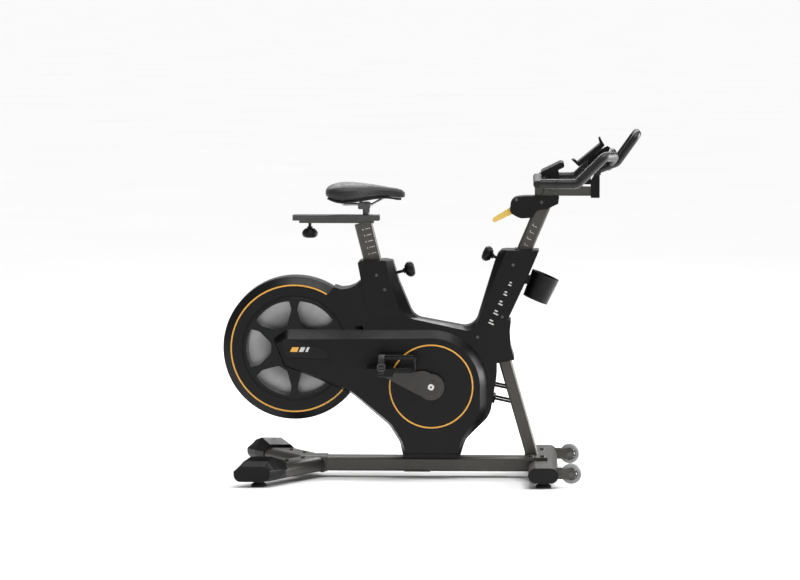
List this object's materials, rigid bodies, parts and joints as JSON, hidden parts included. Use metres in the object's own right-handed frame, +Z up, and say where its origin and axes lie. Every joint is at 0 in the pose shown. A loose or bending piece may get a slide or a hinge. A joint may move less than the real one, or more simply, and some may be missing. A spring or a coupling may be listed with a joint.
{
  "type": "exercise bike",
  "caption": "Indoor cycling bike with a guarded rear flywheel, belt drive casing, adjustable saddle and handlebar posts, toe-cage pedals, a resistance lever and transport wheels.",
  "frame": {"origin": "on the floor, midway along the overall length and width", "axes": "+X forwards to the handlebar, +Y to the rider's left, +Z up"},
  "size_m": [1.3285, 0.56, 1.114],
  "materials": {
    "frame_steel": "satin metallic powder coat",
    "cover_plastic": "fine matt texture",
    "black_plastic": "matt",
    "grip_coating": "soft-touch dip",
    "pedal_aluminium": "black cast",
    "zinc_steel": "satin",
    "slider_aluminium": "black anodised",
    "flywheel_steel": "turned",
    "crank_metal": "satin metallic",
    "belt_rubber": "ribbed",
    "orange_trim": "gloss",
    "yellow_plastic": "satin",
    "saddle_leather": "stitched synthetic leather",
    "wheel_rubber": "grey polyurethane"
  },
  "bodies": {
    "base_frame": {"main_beam": "frame_steel", "rear_frame": "frame_steel", "end_caps": "cover_plastic", "front_stabilizer": "frame_steel", "wheel_brackets": "frame_steel", "frame_bolts": "zinc_steel", "front_upright": "frame_steel", "head_tube": "frame_steel", "seat_tube": "frame_steel", "top_tube": "frame_steel", "bottom_bracket": "frame_steel", "bb_bearings": "zinc_steel", "rear_dropouts": "frame_steel", "flywheel_axle": "zinc_steel", "drive_belt": "belt_rubber", "body_cover_right": "cover_plastic", "body_cover_left": "cover_plastic", "post_collars": "cover_plastic", "rear_fender": "cover_plastic", "drive_cover_right": "cover_plastic", "drive_cover_left": "cover_plastic", "trim_rings": "orange_trim", "flywheel_guards": "cover_plastic", "lower_shroud": "cover_plastic", "cup_holder": "cover_plastic", "post_bushes": "black_plastic"},
    "flywheel_body": {"flywheel": "flywheel_steel", "flywheel_pulley": "flywheel_steel"},
    "crank_body": {"spindles": "zinc_steel", "crank_arms": "crank_metal", "crank_pulley": "crank_metal"},
    "pedal_right_body": {"pedal_right": "pedal_aluminium", "toe_cage_right": "black_plastic"},
    "pedal_left_body": {"pedal_left": "pedal_aluminium", "toe_cage_left": "black_plastic"},
    "seat_post_body": {"seat_post": "frame_steel"},
    "slider_body": {"seat_slider": "slider_aluminium"},
    "saddle_body": {"saddle_clamp": "zinc_steel", "saddle_rails": "zinc_steel", "saddle_shell": "black_plastic", "saddle_cushion": "saddle_leather"},
    "seat_knob_body": {"seat_knob": "black_plastic"},
    "head_knob_body": {"head_knob": "black_plastic"},
    "rail_knob_body": {"rail_knob": "black_plastic"},
    "handlebar_body": {"handlebar_post": "frame_steel", "lever_housing": "cover_plastic", "handlebar_clamp": "black_plastic", "handlebar": "grip_coating", "console": "cover_plastic", "holder_bracket": "black_plastic", "phone_holder": "black_plastic"},
    "lever_body": {"resistance_lever": "yellow_plastic"},
    "brake_body": {"brake_magnets": "flywheel_steel"},
    "claw_body": {"holder_claw": "black_plastic"},
    "wheel_right_body": {"wheel_right": "wheel_rubber"},
    "wheel_left_body": {"wheel_left": "wheel_rubber"},
    "foot_front_right_body": {"foot_front_right": "black_plastic"},
    "foot_front_left_body": {"foot_front_left": "black_plastic"},
    "foot_rear_right_body": {"foot_rear_right": "black_plastic"},
    "foot_rear_left_body": {"foot_rear_left": "black_plastic"}
  },
  "joints": [
    {"name": "flywheel_spin", "type": "hinge", "parent": "base_frame", "child": "flywheel_body", "pos_m": [-0.434, 0, 0.417], "axis": [0, 1, 0], "continuous": true},
    {"name": "crank_spin", "type": "hinge", "parent": "base_frame", "child": "crank_body", "pos_m": [0.003, 0, 0.3], "axis": [0, 1, 0], "continuous": true},
    {"name": "pedal_right_spin", "type": "hinge", "parent": "crank_body", "child": "pedal_right_body", "pos_m": [-0.15735, -0.159, 0.35647], "axis": [0, 1, 0], "continuous": true},
    {"name": "pedal_left_spin", "type": "hinge", "parent": "crank_body", "child": "pedal_left_body", "pos_m": [0.16335, 0.159, 0.24353], "axis": [0, 1, 0], "continuous": true},
    {"name": "seat_height", "type": "slide", "parent": "base_frame", "child": "seat_post_body", "axis": [-0.2487, 0, 0.9686], "range_m": [-0.1, 0.1]},
    {"name": "seat_fore_aft", "type": "slide", "parent": "seat_post_body", "child": "slider_body", "axis": [1, 0, 0], "range_m": [-0.05, 0.08]},
    {"name": "saddle_tilt", "type": "hinge", "parent": "slider_body", "child": "saddle_body", "pos_m": [-0.207, 0, 0.872], "axis": [0, 1, 0], "range_deg": [-10, 10]},
    {"name": "seat_knob_turn", "type": "hinge", "parent": "base_frame", "child": "seat_knob_body", "pos_m": [-0.17208, 0, 0.63988], "axis": [0.9686, 0, 0.2487], "continuous": true},
    {"name": "head_knob_turn", "type": "hinge", "parent": "base_frame", "child": "head_knob_body", "pos_m": [0.27517, 0, 0.67667], "axis": [-0.9202, 0, 0.3915], "continuous": true},
    {"name": "rail_knob_turn", "type": "hinge", "parent": "seat_post_body", "child": "rail_knob_body", "pos_m": [-0.387, 0, 0.79], "axis": [0, 0, -1], "continuous": true},
    {"name": "handlebar_height", "type": "slide", "parent": "base_frame", "child": "handlebar_body", "axis": [0.3915, 0, 0.9202], "range_m": [-0.05, 0.08]},
    {"name": "lever_turn", "type": "hinge", "parent": "handlebar_body", "child": "lever_body", "pos_m": [0.286, 0, 0.866], "axis": [0, 1, 0], "range_deg": [-8, 32]},
    {"name": "brake_slide", "type": "slide", "parent": "base_frame", "child": "brake_body", "axis": [1, 0, 0], "range_m": [-0.0075, 0.0025]},
    {"name": "claw_slide", "type": "slide", "parent": "handlebar_body", "child": "claw_body", "axis": [0.7716, 0, 0.6361], "range_m": [0, 0.02], "stiffness_N_per_m": 600, "springref_m": -0.002},
    {"name": "wheel_right_roll", "type": "hinge", "parent": "base_frame", "child": "wheel_right_body", "pos_m": [0.4473, -0.235, 0.044], "axis": [0, 1, 0], "continuous": true},
    {"name": "wheel_left_roll", "type": "hinge", "parent": "base_frame", "child": "wheel_left_body", "pos_m": [0.4473, 0.235, 0.044], "axis": [0, 1, 0], "continuous": true},
    {"name": "foot_front_right_level", "type": "slide", "parent": "base_frame", "child": "foot_front_right_body", "axis": [0, 0, -1], "range_m": [0, 0.012]},
    {"name": "foot_front_left_level", "type": "slide", "parent": "base_frame", "child": "foot_front_left_body", "axis": [0, 0, -1], "range_m": [0, 0.012]},
    {"name": "foot_rear_right_level", "type": "slide", "parent": "base_frame", "child": "foot_rear_right_body", "axis": [0, 0, -1], "range_m": [0, 0.012]},
    {"name": "foot_rear_left_level", "type": "slide", "parent": "base_frame", "child": "foot_rear_left_body", "axis": [0, 0, -1], "range_m": [0, 0.012]}
  ],
  "couplings": [
    {"joint": "crank_spin", "follows": "flywheel_spin", "ratio": 0.25263},
    {"joint": "brake_slide", "follows": "lever_turn", "m_per_rad": -0.012}
  ]
}
